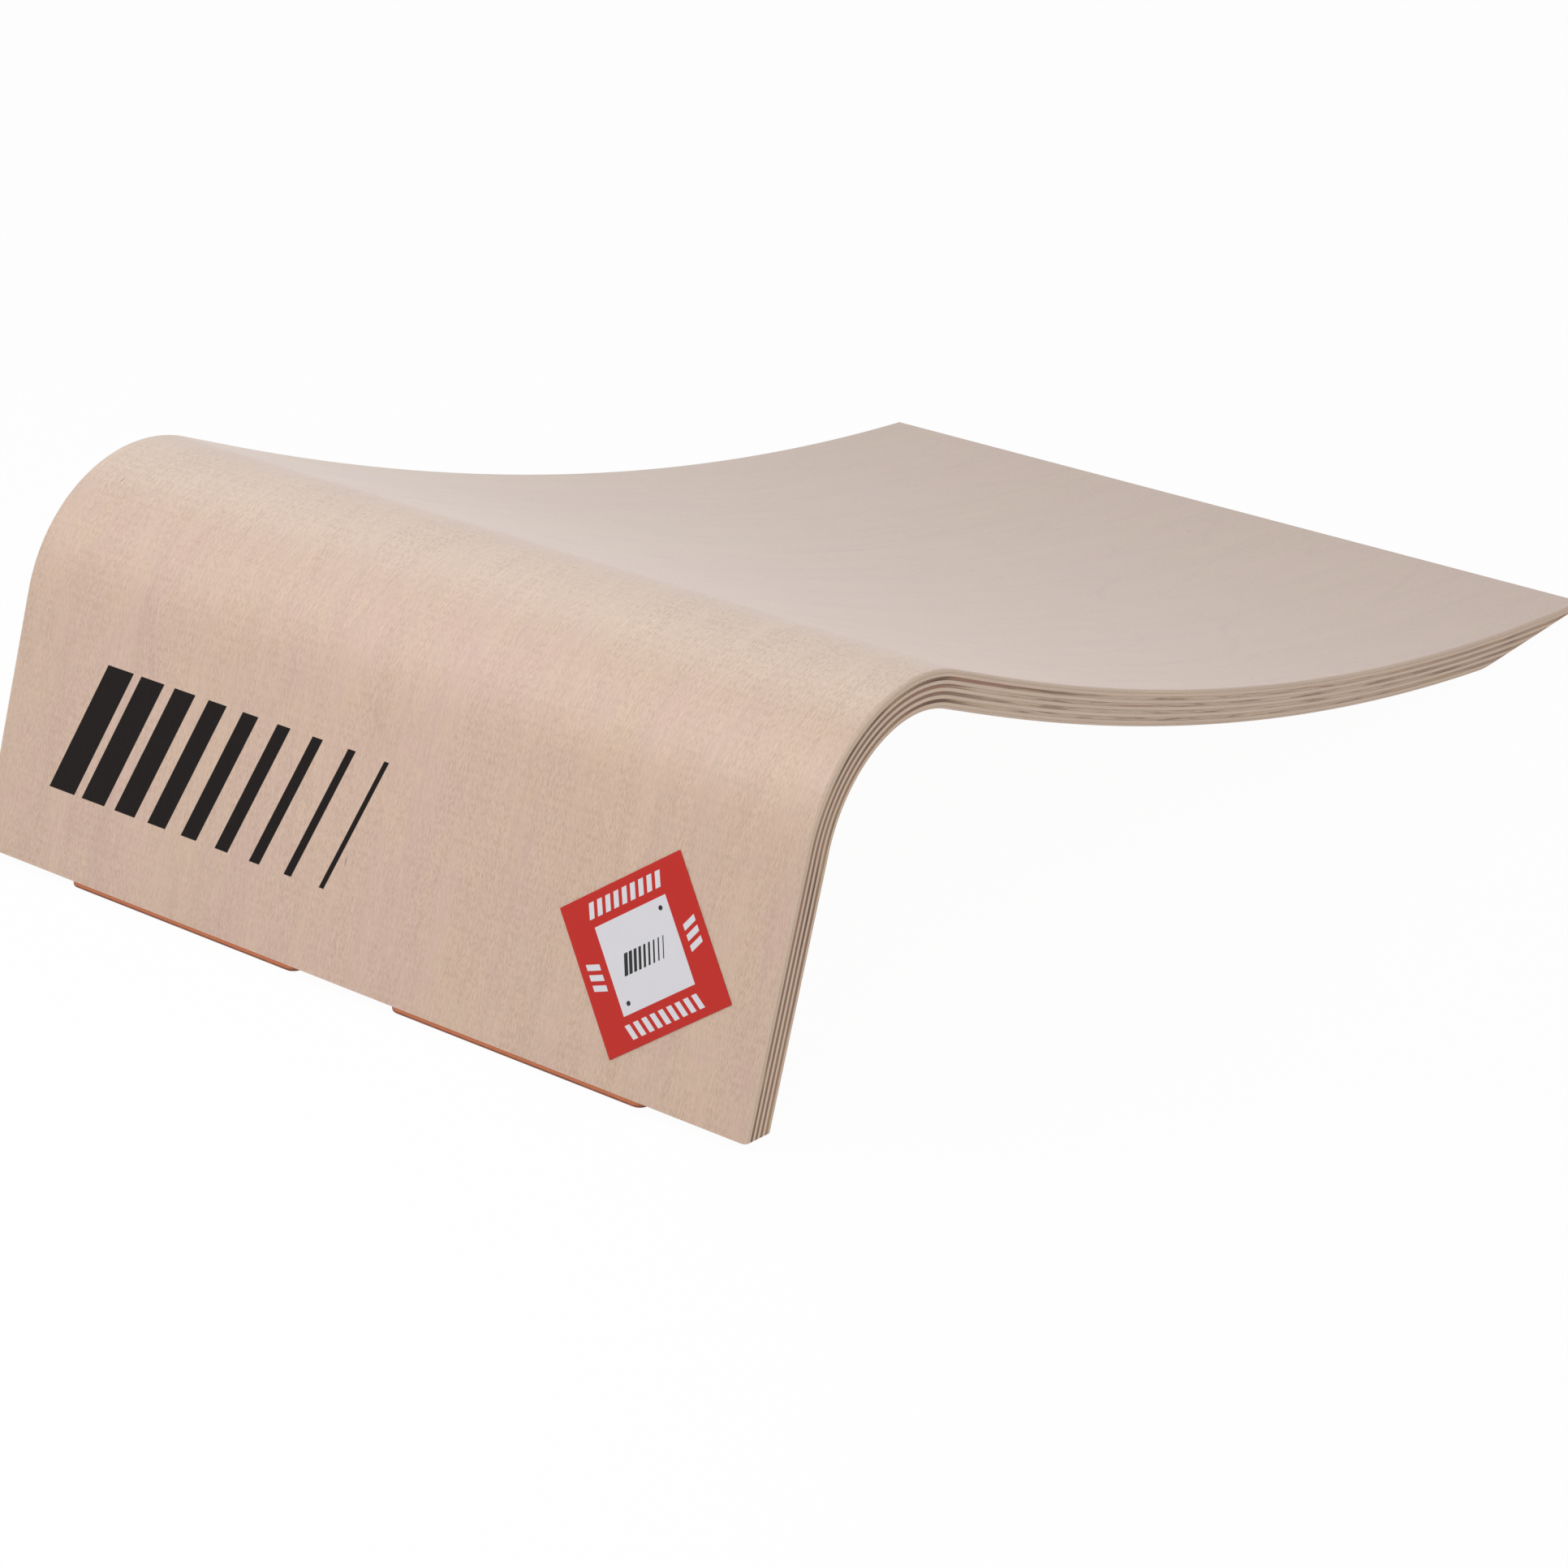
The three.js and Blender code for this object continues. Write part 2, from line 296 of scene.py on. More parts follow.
class Bend:
    """Side view of the sheet, worked out from its sizes.

    Leg, crown arc, straight fall and wide arc follow each other without a kink. Any point is
    named by its distance along the riding face and its depth below it.
    """

    leg_steps = 12
    fall_steps = 4

    def __init__(self, sheet):
        self.lean = sheet.leg_lean
        self.fall_angle = sheet.fall_angle
        self.nose_angle = sheet.nose_angle
        self.cut = sheet.foot_cut
        self.ply = sheet.ply
        self.glue = sheet.glue
        self.arris = sheet.arris
        self.half_width = sheet.width / 2
        self.radius = sheet.crown_radius
        self.fall = sheet.fall_length
        self.bevel_z = sheet.standoff
        self.steps = sheet.round_steps
        self.pitch = self.ply + self.glue
        self.thickness = len(LAYUP) * self.pitch - self.glue
        centre_z = sheet.crown_height - self.radius
        foot_z = self.bevel_z + sheet.foot_rise
        self.leg = (centre_z + self.radius * math.sin(self.lean) - foot_z) / math.cos(self.lean)
        fall_end_z = (
            centre_z + self.radius * math.cos(self.fall_angle) - self.fall * math.sin(self.fall_angle)
        )
        drop = fall_end_z - self.bevel_z - sheet.tip
        self.wide = drop / (math.cos(self.nose_angle) - math.cos(self.fall_angle))
        leg_run = self.leg * math.sin(self.lean) + self.radius * math.cos(self.lean)
        fall_run = self.radius * math.sin(self.fall_angle) + self.fall * math.cos(self.fall_angle)
        wide_run = self.wide * (math.sin(self.fall_angle) - math.sin(self.nose_angle))
        length = leg_run + fall_run + wide_run
        self.foot = (-length / 2, foot_z)
        self.tip_x = length / 2
        self.centre = (self.foot[0] + leg_run, centre_z)
        self.wide_centre = (
            self.tip_x + self.wide * math.sin(self.nose_angle),
            self.bevel_z + sheet.tip + self.wide * math.cos(self.nose_angle),
        )
        self.crown_sweep = math.pi / 2 - self.lean + self.fall_angle
        self.crown_end = self.leg + self.radius * self.crown_sweep
        self.fall_end = self.crown_end + self.fall
        self.tip_corner = (
            math.hypot(self.wide_centre[0] - self.tip_x, self.wide_centre[1] - self.bevel_z)
            - self.wide
        )

    def end_slope(self, radius):
        """Slope at which a wide arc of this radius ends, at the blunt tip or on the bevel."""
        at_tip = np.arcsin((self.wide_centre[0] - self.tip_x) / radius)
        at_bevel = np.arccos(np.minimum((self.wide_centre[1] - self.bevel_z) / radius, 1))
        return np.maximum(at_tip, at_bevel)

    def half_at(self, depth):
        """Half the width at a depth: a quarter circle draws it in near both faces."""
        from_face = np.minimum(depth, self.thickness - depth)
        shortfall = np.maximum(self.arris - from_face, 0)
        return self.half_width - self.arris + np.sqrt(self.arris**2 - shortfall**2)

    def on_leg(self, up, depth):
        """X and Z of a place on the leg: up along its riding face, then square into it."""
        x = self.foot[0] + up * math.sin(self.lean) + depth * math.cos(self.lean)
        z = self.foot[1] + up * math.cos(self.lean) - depth * math.sin(self.lean)
        return x, z

    def profile(self, depth):
        """Side view at each depth, as X and Z with a row for each station and a column for
        each depth. The leg runs from the foot cut straight to the crown, the crown is an arc
        of the crown radius less the depth, the fall is straight, and the wide arc has the wide
        radius plus the depth and stops at its end slope."""
        depth = np.asarray(depth, float)
        up = depth * math.tan(self.lean - self.cut)
        along = up + (self.leg - up) * np.linspace(0, 1, self.leg_steps + 1)[:-1, None]
        leg_x, leg_z = self.on_leg(along, depth)
        share = np.linspace(0, 1, self.steps + 1)[:, None]
        turn = math.pi - self.lean - self.crown_sweep * share
        crown_x = self.centre[0] + (self.radius - depth) * np.cos(turn)
        crown_z = self.centre[1] + (self.radius - depth) * np.sin(turn)
        down = self.fall * np.linspace(0, 1, self.fall_steps + 1)[1:-1, None]
        fall_x = crown_x[-1] + down * math.cos(self.fall_angle)
        fall_z = crown_z[-1] - down * math.sin(self.fall_angle)
        radius = self.wide + depth
        slope = self.fall_angle + (self.end_slope(radius) - self.fall_angle) * share
        wide_x = self.wide_centre[0] - radius * np.sin(slope)
        wide_z = self.wide_centre[1] - radius * np.cos(slope)
        return (
            np.concatenate([leg_x, crown_x, fall_x, wide_x]),
            np.concatenate([leg_z, crown_z, fall_z, wide_z]),
        )


# Meshes

def ring_faces(rows, columns):
    """Quads between the rows of a grid whose columns close into a ring."""
    row = np.arange(rows - 1)[:, None] * columns
    column = np.arange(columns)
    ahead = (column + 1) % columns
    quads = np.stack(
        [row + column, row + ahead, row + columns + ahead, row + columns + column], axis=-1,
    )
    return quads.reshape(-1, 4).tolist()


def closed_faces(rows, columns):
    """Faces of a stack of rings, with one face over each end."""
    first = list(range(columns))[::-1]
    last = [(rows - 1) * columns + corner for corner in range(columns)]
    return ring_faces(rows, columns) + [first, last]


def place_piece(name, points, faces, material, replaced=(), sharp=math.radians(35)):
    """Makes a mesh object at the origin, with its place in its mesh, that rides on the ramp."""
    mesh = bpy.data.meshes.new(name)
    mesh.from_pydata(np.asarray(points, float).reshape(-1, 3).tolist(), [], faces)
    mesh.shade_smooth()
    mesh.set_sharp_from_angle(angle=sharp)
    mesh.materials.append(material)
    mesh.update()
    piece = bpy.data.objects.new(name, mesh)
    bpy.context.scene.collection.objects.link(piece)
    if replaced:
        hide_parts(*replaced)
    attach(piece, "root")
    return piece


def dress(node, material):
    """Gives a node of the packed part a material."""
    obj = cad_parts[node]
    obj.data.materials.clear()
    obj.data.materials.append(material)


def veneer_mesh(bend, top, bottom):
    """Closed loft of one veneer. Its section is a ring of depths and widths: across the lower
    face, up the right edge along the arris, back across the upper face and down the left edge.
    Every point of the ring runs along the profile at its own depth. Points stand close together
    near the side edges and evenly between them."""
    close = 1 - np.array([0, 0.4, 1.2]) * MM / bend.half_width
    right = np.concatenate([close, np.linspace(0.96, 0, 9)])
    across = np.concatenate([right, -right[-2::-1]])
    arc = bend.arris * (1 - np.cos(np.linspace(0, math.pi / 2, 9)[1:]))
    levels = np.concatenate([arc, bend.thickness - arc, [bend.tip_corner]])
    clear = bend.ply / 40
    levels = np.unique(levels[(levels > top + clear) & (levels < bottom - clear)])
    count = len(levels)
    wide = len(across)
    depth = np.concatenate([np.full(wide, bottom), levels[::-1], np.full(wide, top), levels])
    width = np.concatenate([-across, np.ones(count), across, -np.ones(count)])
    width = width * bend.half_at(depth)
    x, z = bend.profile(depth)
    points = np.stack([x, np.broadcast_to(width, x.shape), z], axis=-1)
    rows, ring = x.shape
    faces = ring_faces(rows, ring)
    lower = list(range(wide))
    upper = list(range(wide + count, 2 * wide + count))
    right_side = list(range(wide, wide + count))
    left_side = list(range(2 * wide + count, ring))[::-1]
    stack = [lower] + [[b, a] for a, b in zip(right_side, left_side)] + [upper[::-1]]
    for below, above in zip(stack, stack[1:]):
        cap = below + above[::-1]
        faces.append(cap[::-1])
        faces.append([(rows - 1) * ring + corner for corner in cap])
    return points, faces


def film_mesh(bend, grooves):
    """Films of glue between the veneers. Each is a thin loft along its own depth, a hair
    inside the sheet's edges, in strips across the ramp that stop short of the grooves."""
    clear = 0.005 * MM
    inside = 0.03 * MM
    points, faces = [], []
    start = 0
    for joint in range(1, len(LAYUP)):
        top = joint * bend.pitch - bend.glue + clear
        bottom = joint * bend.pitch - clear
        depth = np.array([bottom, bottom, top, top])
        half = bend.half_at(depth) - inside
        x, z = bend.profile(depth)
        for low_y, high_y, from_row, to_row in grooves(top, bottom, x, z):
            width = np.clip(np.array([low_y, high_y, high_y, low_y]), -half, half)
            part_x, part_z = x[from_row:to_row], z[from_row:to_row]
            part = np.stack([part_x, np.broadcast_to(width, part_x.shape), part_z], -1)
            points.append(part.reshape(-1, 3))
            quads = closed_faces(len(part_x), 4)
            faces += [[corner + start for corner in quad] for quad in quads]
            start += len(points[-1])
    return np.concatenate(points), faces


def strip_mesh(length, width, lip, top, shoulder, sole, edge_round):
    """Round-ended bar about its own middle, its long axis on Y, with a root of the given
    length and width and a head that overhangs it by the lip. Each level is a stadium outline.
    Round the sole's edge a level is drawn in by the round times 1 - sin of an angle and
    raised by it times 1 - cos; the head's upper edge has half that round. The sole and the
    shoulder are heights for each point across."""
    turn = np.linspace(0, math.pi, 17)
    side_x = np.concatenate([np.cos(turn), -np.cos(turn)])
    side_y = np.concatenate([np.sin(turn), -np.sin(turn)])
    middle = np.repeat([1.0, -1.0], len(turn)) * (length - width) / 2
    lower = np.linspace(0, math.pi / 2, 7)[:, None]
    upper = np.linspace(math.pi / 2, 0, 5)[:, None]
    small = edge_round / 2
    drawn_in = np.concatenate([
        edge_round * (1 - np.sin(lower)), small * (1 - np.sin(upper)), [[lip], [lip]],
    ])
    x = (width / 2 + lip - drawn_in) * side_x
    y = middle + (width / 2 + lip - drawn_in) * side_y
    low_end = len(lower)
    high_end = low_end + len(upper)
    z = np.concatenate([
        sole(x[:low_end]) + edge_round * (1 - np.cos(lower)),
        shoulder(x[low_end:high_end]) - small * (1 - np.cos(upper)),
        shoulder(x[high_end:high_end + 1]),
        np.full((1, x.shape[1]), top),
    ])
    return np.stack([x, y, z], axis=-1), closed_faces(*x.shape)


def label_mesh(size, thickness, corner):
    """Rounded square film about its own middle, printed side up. Its outline is a square with
    quarter circles at the corners; the levels are the underside, the wall, a fine rounded rim
    and rings that shrink in proportion to the middle."""
    quarter = np.linspace(0, math.pi / 2, 5)
    turn = np.concatenate([quarter + math.pi / 2 * side for side in range(4)])
    corner_x = np.repeat([1, -1, -1, 1], len(quarter)) * (size / 2 - corner)
    corner_y = np.repeat([1, 1, -1, -1], len(quarter)) * (size / 2 - corner)
    outline_x = corner_x + corner * np.cos(turn)
    outline_y = corner_y + corner * np.sin(turn)
    rim = 0.06 * MM
    share = np.array([1, 1, 1 - 0.3 * rim / size, 1 - 2 * rim / size, 0.97, 0.8, 0.5, 0.02])
    height = np.full(len(share), thickness)
    height[:3] = 0, thickness - rim, thickness - 0.3 * rim
    x = share[:, None] * outline_x
    y = share[:, None] * outline_y
    z = np.broadcast_to(height[:, None], x.shape)
    return np.stack([x, y, z], axis=-1), closed_faces(*x.shape)


# Materials

class Wire:
    """An output of a material's nodes, on which Python's operators add Math nodes."""

    def __init__(self, finish, socket):
        self.finish = finish
        self.socket = socket

    def math(self, operation, *others):
        return self.finish.node("ShaderNodeMath", {"operation": operation}, (self, *others))

    def __add__(self, other):
        return self.math("ADD", other)

    def __sub__(self, other):
        return self.math("SUBTRACT", other)

    def __rsub__(self, other):
        return self.finish.node("ShaderNodeMath", {"operation": "SUBTRACT"}, (other, self))

    def __mul__(self, other):
        return self.math("MULTIPLY", other)

    def __truediv__(self, other):
        return self.math("DIVIDE", other)

    def __neg__(self):
        return self * -1.0

    def __abs__(self):
        return self.math("ABSOLUTE")

    def __gt__(self, other):
        return self.math("GREATER_THAN", other)

    def __lt__(self, other):
        return self.math("LESS_THAN", other)

    __radd__ = __add__
    __rmul__ = __mul__


class Finish:
    """The nodes of a material or a world, and the one way that nodes are added to them."""

    def __init__(self, owner):
        self.owner = owner
        owner.use_nodes = True
        self.tree = owner.node_tree
        self.tree.nodes.clear()

    def node(self, kind, settings=None, inputs=(), output=0):
        """Adds a node, sets its settings, then its sockets by number or name, and returns one
        of its outputs."""
        added = self.tree.nodes.new(kind)
        for name, value in (settings or {}).items():
            setattr(added, name, value)
        pairs = inputs.items() if isinstance(inputs, dict) else enumerate(inputs)
        for name, value in pairs:
            if isinstance(value, Wire):
                self.tree.links.new(value.socket, added.inputs[name])
            elif hasattr(value, "__len__") and len(added.inputs[name].default_value) > len(value):
                added.inputs[name].default_value = (*value, 1.0)
            else:
                added.inputs[name].default_value = value
        return Wire(self, added.outputs[output]) if added.outputs else None

    def choose(self, share, first, second):
        """Value between two values."""
        return self.node("ShaderNodeMix", {"data_type": "FLOAT"}, {0: share, 2: first, 3: second})

    def mix(self, share, first, second):
        """Colour between two colours."""
        return self.node("ShaderNodeMix", {"data_type": "RGBA"}, {0: share, 6: first, 7: second}, 2)

    def scale(self, vector, amount):
        """Vector or colour times a number."""
        return self.node("ShaderNodeVectorMath", {"operation": "SCALE"}, {0: vector, 3: amount})

    def ease(self, value, low, high, to_low=0.0, to_high=1.0):
        """Smooth step of a value between two limits."""
        settings = {"interpolation_type": "SMOOTHSTEP"}
        return self.node("ShaderNodeMapRange", settings, (value, low, high, to_low, to_high))

    def noise(self, place, detail=2.0, roughness=0.5, warp=0.0):
        """Cloudy noise, about 0.5, with a span of one at the place's unit."""
        sockets = {"Vector": place, "Scale": 1.0, "Detail": detail, "Roughness": roughness,
                   "Distortion": warp}
        return self.node("ShaderNodeTexNoise", None, sockets, "Fac")

    def cells(self, place):
        """Points scattered over the plane, one in each unit cell: the distance to the nearest,
        and a random number of its own."""
        settings = {"voronoi_dimensions": "2D"}
        near = self.node("ShaderNodeTexVoronoi", settings, {"Vector": place, "Scale": 1.0})
        return near, self.split(Wire(self, near.socket.node.outputs["Color"]))[0]

    def vector(self, x, y, z):
        """Vector of three values."""
        return self.node("ShaderNodeCombineXYZ", None, (x, y, z))

    def split(self, vector):
        """X, Y and Z of a vector."""
        first = self.node("ShaderNodeSeparateXYZ", None, (vector,))
        return tuple(Wire(self, part) for part in first.socket.node.outputs)

    def place(self):
        """Object coordinates."""
        return self.node("ShaderNodeTexCoord", output="Object")

    def facing(self):
        """X, Y and Z of the direction that the surface faces."""
        return self.split(self.node("ShaderNodeNewGeometry", output="Normal"))

    def bump(self, height, strength, depth):
        """Relief of a height, whose unit is a depth in metres."""
        sockets = {"Strength": strength, "Distance": depth, "Height": height}
        return self.node("ShaderNodeBump", None, sockets)

    def principled(self, **sockets):
        """Ends the material in a Principled shader and returns the material."""
        named = {name.replace("_", " "): value for name, value in sockets.items()}
        shader = self.node("ShaderNodeBsdfPrincipled", None, named)
        self.node("ShaderNodeOutputMaterial", None, {"Surface": shader})
        return self.owner


def new_finish(name):
    """Finish of a new material."""
    return Finish(bpy.data.materials.new(name))


def bend_place(finish, bend):
    """Distance along the riding face, distance across the ramp and depth below the riding
    face, from Object coordinates: straight on the leg and the fall, polar on both arcs."""
    x, y, z = finish.split(finish.place())
    lean_sin, lean_cos = math.sin(bend.lean), math.cos(bend.lean)
    fall_sin, fall_cos = math.sin(bend.fall_angle), math.cos(bend.fall_angle)
    foot_x = x - bend.foot[0]
    foot_z = z - bend.foot[1]
    up = foot_x * lean_sin + foot_z * lean_cos
    leg_depth = foot_x * lean_cos - foot_z * lean_sin
    crown_x = x - bend.centre[0]
    crown_z = z - bend.centre[1]
    turn = (math.pi - bend.lean) - crown_z.math("ARCTAN2", crown_x)
    crown_along = bend.leg + turn * bend.radius
    crown_depth = bend.radius - (crown_x * crown_x + crown_z * crown_z).math("SQRT")
    down = crown_x * fall_cos - crown_z * fall_sin
    fall_along = down + bend.crown_end
    fall_depth = bend.radius - (crown_x * fall_sin + crown_z * fall_cos)
    wide_x = bend.wide_centre[0] - x
    wide_z = bend.wide_centre[1] - z
    slope = wide_x.math("ARCTAN2", wide_z)
    wide_along = bend.fall_end + (bend.fall_angle - slope) * bend.wide
    wide_depth = (wide_x * wide_x + wide_z * wide_z).math("SQRT") - bend.wide
    on_leg = up < bend.leg
    past_crown = down > 0.0
    past_fall = down > bend.fall
    along = finish.choose(past_fall, fall_along, wide_along)
    depth = finish.choose(past_fall, fall_depth, wide_depth)
    along = finish.choose(past_crown, crown_along, along)
    depth = finish.choose(past_crown, crown_depth, depth)
    return finish.choose(on_leg, along, up), y, finish.choose(on_leg, depth, leg_depth)


class Grain:
    """Place in the bent wood, on which the patterns are laid at their real sizes."""

    def __init__(self, finish, bend):
        self.finish = finish
        self.along, self.across, self.depth = bend_place(finish, bend)
        self.facing = finish.facing()

    def spans(self, along, across, depth, shift=0.0):
        """Place in units of three lengths in millimetres."""
        return self.finish.vector(
            self.along * (1 / (along * MM)) + shift,
            self.across * (1 / (across * MM)) + shift * 0.7,
            self.depth * (1 / (depth * MM)) - shift * 0.4,
        )

    def noise(self, name):
        """Noise of the pattern with this name."""
        spans, *settings = PATTERNS[name]
        return self.finish.noise(self.spans(*spans), *settings)


def fading_stripes(finish, across, up, sizes, soft=0.12 * MM):
    """Mask of a row of slanted stripes that grow wider along the row. A stripe is where the
    place across, with the slant added, lies within half a stripe of its middle."""
    stripes, pitch, thinnest, widest, height, slant = sizes
    sheared = across + up * math.tan(slant)
    index = (sheared / pitch).math("FLOOR")
    off_middle = abs(sheared - (index + 0.5) * pitch)
    half = thinnest / 2 + index * ((widest - thinnest) / 2 / max(stripes - 1, 1))
    inside = (index > -0.5) * (index < stripes - 0.5)
    stripe = finish.ease(off_middle - half, soft, -soft)
    bottom = finish.ease(up, -soft, soft)
    top = finish.ease(height - up, -soft, soft)
    return inside * stripe * bottom * top


def face_clouds(finish, bend, grain, beech):
    """Colour of the sanded face before its fine grain: rosy and sandy clouds and patches, and
    a painted highlight, a paler band on top of the crown."""
    mottle = grain.noise("mottle")
    colour = finish.mix(finish.ease(grain.noise("clouds"), 0.40, 0.70), beech.face, beech.rosy)
    colour = finish.mix(finish.ease(grain.noise("drifts"), 0.42, 0.72), colour, beech.sandy)
    colour = finish.mix(finish.ease(mottle, 0.52, 0.68, 0.0, 0.5), colour, beech.rosy_mottle)
    colour = finish.mix(finish.ease(mottle, 0.48, 0.32, 0.0, 0.5), colour, beech.sandy_mottle)
    # Painted highlight: the top of the crown is mixed towards a paler colour, in place of a lamp's
    # soft reflection
    rise = finish.ease(grain.along, bend.leg + 40 * MM, bend.leg + 76 * MM)
    fade = finish.ease(grain.along, bend.crown_end - 4 * MM, bend.crown_end - 30 * MM)
    return finish.mix(rise * fade * 0.95, colour, beech.painted_crown_highlight)


def ray_flecks(finish, grain):
    """Mask of the short ray flecks, small and large, which crowd together in places."""
    flecks = None
    for length, breadth, left_out, shift in FLECKS:
        near, own = finish.cells(grain.spans(length, breadth, breadth, shift))
        mark = finish.ease(near, 0.32, 0.17) * (own > left_out)
        flecks = mark if flecks is None else flecks.math("MAXIMUM", mark)
    return flecks * finish.ease(grain.noise("fleck_crowds"), 0.28, 0.60, 0.4, 1.0)


def face_beech(bend, beech, stripes=None):
    """Sanded and sealed beech veneer with its grain along the ramp. Clouds, faint growth
    lines, fine fibres, short ray flecks and a few dark dashes lie on the face; the sawn side
    edge is greyer and streaked, and the cut ends show end grain. The print is laid over all
    of it."""
    finish = new_finish("beech_face" if stripes else "beech_underside")
    grain = Grain(finish, bend)
    colour = face_clouds(finish, bend, grain, beech)
    fibres = grain.noise("fibres")
    # Painted sheen: past the crown the fibres and flecks fade, in place of the reflection that veils
    # the grain on the deck; the relief fades with them
    deck_grain_fade = finish.ease(grain.along, bend.crown_end - 30 * MM, bend.crown_end + 90 * MM, 1.0, 0.45)
    flecks = ray_flecks(finish, grain) * deck_grain_fade
    line = finish.ease((grain.noise("figure") * 11.0).math("FRACT"), 0.14, 0.0)
    near, own = finish.cells(grain.spans(60, 9, 9, 2.2))
    dash = finish.ease(near, 0.040, 0.016) * (own > 0.975)
    amount = 1.0 + (grain.noise("streaks") - 0.5) * 0.09 + (fibres - 0.5) * 0.34 * deck_grain_fade
    colour = finish.scale(colour, amount - line * 0.040)
    colour = finish.mix(flecks * 0.46, colour, beech.fleck)
    colour = finish.mix(dash * 0.8, colour, tuple(part * 0.5 for part in beech.fleck))
    roughness = 0.46 + (fibres - 0.5) * 0.16 + flecks * 0.10
    sealed = 1.0
    if stripes:
        row_up = grain.along - stripes["foot_margin"]
        ink = fading_stripes(finish, grain.across - stripes["start"], row_up, stripes["sizes"])
        ink = ink * finish.ease(grain.depth, 0.2 * MM, 0.1 * MM)
        thin = finish.ease(fibres, 0.18, 0.32, 0.94, 1.0)
        colour = finish.mix(ink * thin, colour, beech.ink)
        roughness = roughness + ink * 0.06
        sealed = 1.0 - ink
    side = finish.ease(abs(grain.facing[1]), 0.25, 0.85)
    edge, edge_relief = long_edge(finish, grain, beech)
    colour = finish.mix(side, colour, edge)
    ends = cut_ends(finish, bend, grain)
    colour = finish.mix(ends, colour, end_grain(finish, grain, beech, grain.across))
    relief = (fibres - 0.5) * 0.8 * deck_grain_fade - flecks * 1.3 - line * 0.15
    relief = finish.choose(side, relief, edge_relief)
    sealed = (1.0 - side.math("MAXIMUM", ends) * 0.8) * sealed
    return finish.principled(
        Base_Color=colour, Roughness=roughness + side * 0.16, IOR=1.25,
        Normal=finish.bump(relief, 0.55, 0.06 * MM),
        Coat_Weight=sealed, Coat_Roughness=0.38, Coat_IOR=1.58,
    )


def long_edge(finish, grain, beech):
    """Colour and relief of a long veneer's sawn side: fine streaks and spindles along it."""
    streaks = grain.noise("edge_streaks")
    place = finish.vector(grain.along * (1 / (3.4 * MM)), grain.depth * (1 / (0.42 * MM)), 0.0)
    near, own = finish.cells(place)
    spindles = finish.ease(near, 0.36, 0.14) * (own > 0.3)
    amount = 1.0 + (streaks - 0.5) * 0.30 + (grain.noise("edge_bands") - 0.5) * 0.20
    colour = finish.scale(beech.long_edge, amount)
    colour = finish.mix(spindles * 0.16, colour, beech.fleck)
    return colour, (streaks - 0.5) * 0.8 - spindles * 0.3


def end_grain(finish, grain, beech, along):
    """Colour of sawn fibre ends: brown with rusty, ochre and umber stretches, fine pores, and
    slanted torn marks that the saw left in places. The marks are a sine across slanted lines
    at 700 per metre along and 520 down, which waver a little."""
    rust = finish.ease(grain.noise("rust"), 0.50, 0.60)
    ochre = finish.ease(grain.noise("ochre"), 0.55, 0.62)
    umber = finish.ease(grain.noise("umber"), 0.56, 0.72)
    colour = finish.mix(rust, beech.end_grain, beech.end_grain_rust)
    colour = finish.mix(ochre, colour, beech.end_grain_ochre)
    colour = finish.mix(umber, colour, beech.umber)
    slant = (along * 700.0 + grain.depth * 520.0 + grain.noise("saw_waver") * 2.6) * (2 * math.pi)
    torn = finish.ease(grain.noise("saw_patches"), 0.38, 0.54)
    torn = torn * finish.ease(grain.along, 0.13, 0.18)
    pores = (grain.noise("pores") - 0.5) * 0.6
    return finish.scale(colour, 1.0 + pores + slant.math("SINE") * torn * 0.55)


def cut_ends(finish, bend, grain):
    """Mask of the foot cut and the blunt tip, by which way the surface faces."""
    down_leg = -(grain.facing[0] * math.sin(bend.lean) + grain.facing[2] * math.cos(bend.lean))
    foot = finish.ease(down_leg, 0.80, 0.92) * (grain.along < 8 * MM)
    tip = finish.ease(grain.facing[0], 0.75, 0.9) * (grain.along > bend.fall_end)
    return foot + tip


def inner_edge(bend, beech, grain_runs):
    """Edges of an inner veneer. Where the fibres end, on the sides of a cross veneer and the
    cut ends of a long one, it is end grain, and elsewhere sawn long grain. Sanding has washed
    out the end grain of the lower deck."""
    finish = new_finish("beech_edge_" + grain_runs)
    grain = Grain(finish, bend)
    plain, relief = long_edge(finish, grain, beech)
    side = finish.ease(abs(grain.facing[1]), 0.4, 0.7)
    if grain_runs == "long":
        ends = cut_ends(finish, bend, grain)
        colour = finish.mix(ends, plain, end_grain(finish, grain, beech, grain.across))
        roughness = 0.62
    else:
        along = grain.along + (grain.noise("wash_wander") - 0.5) * 0.30
        washed = finish.ease(along, 0.21, 0.27) * finish.ease(along, 0.66, 0.46, 0.5, 1.0)
        kept = finish.ease(grain.noise("wash_patches"), 0.46, 0.62, 0.16, 0.75)
        strength = 1.0 - washed * (1.0 - kept)
        colour = finish.mix(side * strength, plain, end_grain(finish, grain, beech, grain.along))
        relief = relief - side * 0.5
        roughness = 0.70
    return finish.principled(
        Base_Color=colour, Roughness=roughness, Normal=finish.bump(relief, 0.6, 0.05 * MM),
    )


def glue_film(beech):
    """Set glue, seen as hairlines between the veneers."""
    finish = new_finish("glue_film")
    patches = finish.noise(finish.scale(finish.place(), 90.0))
    colour = finish.scale(beech.glue, 0.8 + patches * 0.5)
    return finish.principled(Base_Color=colour, Roughness=0.5)


